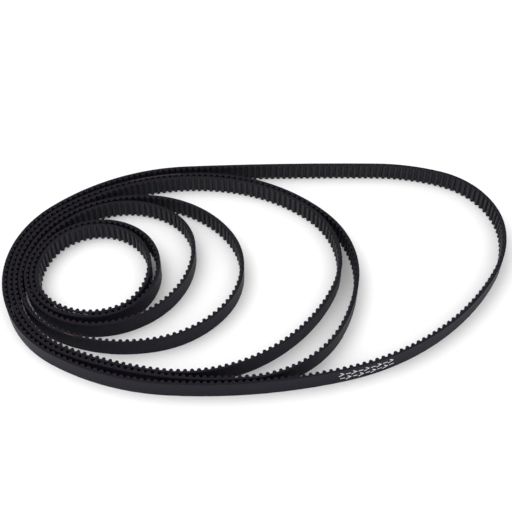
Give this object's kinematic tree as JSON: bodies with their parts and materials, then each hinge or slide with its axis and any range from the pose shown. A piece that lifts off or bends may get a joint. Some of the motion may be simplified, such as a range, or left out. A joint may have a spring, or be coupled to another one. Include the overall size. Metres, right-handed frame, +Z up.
{
  "type": "timing belt",
  "caption": "Nest of endless toothed timing belts with inward teeth, standing on their cut edges one inside the other and fanned out to one side.",
  "frame": {"origin": "centre of the nest's outline, on the plane its cut edges stand on", "axes": "+X towards the side where the belts fan out, +Z up across the belts' width"},
  "size_m": [0.1578, 0.0876, 0.006],
  "materials": {
    "back_rubber": "satin black moulded chloroprene rubber",
    "tooth_rubber": "matt black rubber, cut clean at the edges",
    "facing_nylon": "fine woven black nylon",
    "glass_cord": "treated glass-fibre cord, brown"
  },
  "bodies": {
    "belt_400": {"belt_400_back": "back_rubber", "belt_400_cord": "glass_cord", "belt_400_teeth": "tooth_rubber", "belt_400_facing": "facing_nylon"},
    "belt_300": {"belt_300_back": "back_rubber", "belt_300_cord": "glass_cord", "belt_300_teeth": "tooth_rubber", "belt_300_facing": "facing_nylon"},
    "belt_280": {"belt_280_back": "back_rubber", "belt_280_cord": "glass_cord", "belt_280_teeth": "tooth_rubber", "belt_280_facing": "facing_nylon"},
    "belt_200": {"belt_200_back": "back_rubber", "belt_200_cord": "glass_cord", "belt_200_teeth": "tooth_rubber", "belt_200_facing": "facing_nylon"},
    "belt_158": {"belt_158_back": "back_rubber", "belt_158_cord": "glass_cord", "belt_158_teeth": "tooth_rubber", "belt_158_facing": "facing_nylon"},
    "belt_122": {"belt_122_back": "back_rubber", "belt_122_cord": "glass_cord", "belt_122_teeth": "tooth_rubber", "belt_122_facing": "facing_nylon"},
    "belt_110": {"belt_110_back": "back_rubber", "belt_110_cord": "glass_cord", "belt_110_teeth": "tooth_rubber", "belt_110_facing": "facing_nylon"}
  },
  "joints": [
    {"name": "lift_300", "type": "slide", "parent": "belt_400", "child": "belt_300", "axis": [0, 0, 1], "range_m": [0, 0.03]},
    {"name": "lift_280", "type": "slide", "parent": "belt_400", "child": "belt_280", "axis": [0, 0, 1], "range_m": [0, 0.03]},
    {"name": "lift_200", "type": "slide", "parent": "belt_400", "child": "belt_200", "axis": [0, 0, 1], "range_m": [0, 0.03]},
    {"name": "lift_158", "type": "slide", "parent": "belt_400", "child": "belt_158", "axis": [0, 0, 1], "range_m": [0, 0.03]},
    {"name": "lift_122", "type": "slide", "parent": "belt_400", "child": "belt_122", "axis": [0, 0, 1], "range_m": [0, 0.03]},
    {"name": "lift_110", "type": "slide", "parent": "belt_400", "child": "belt_110", "axis": [0, 0, 1], "range_m": [0, 0.03]}
  ]
}
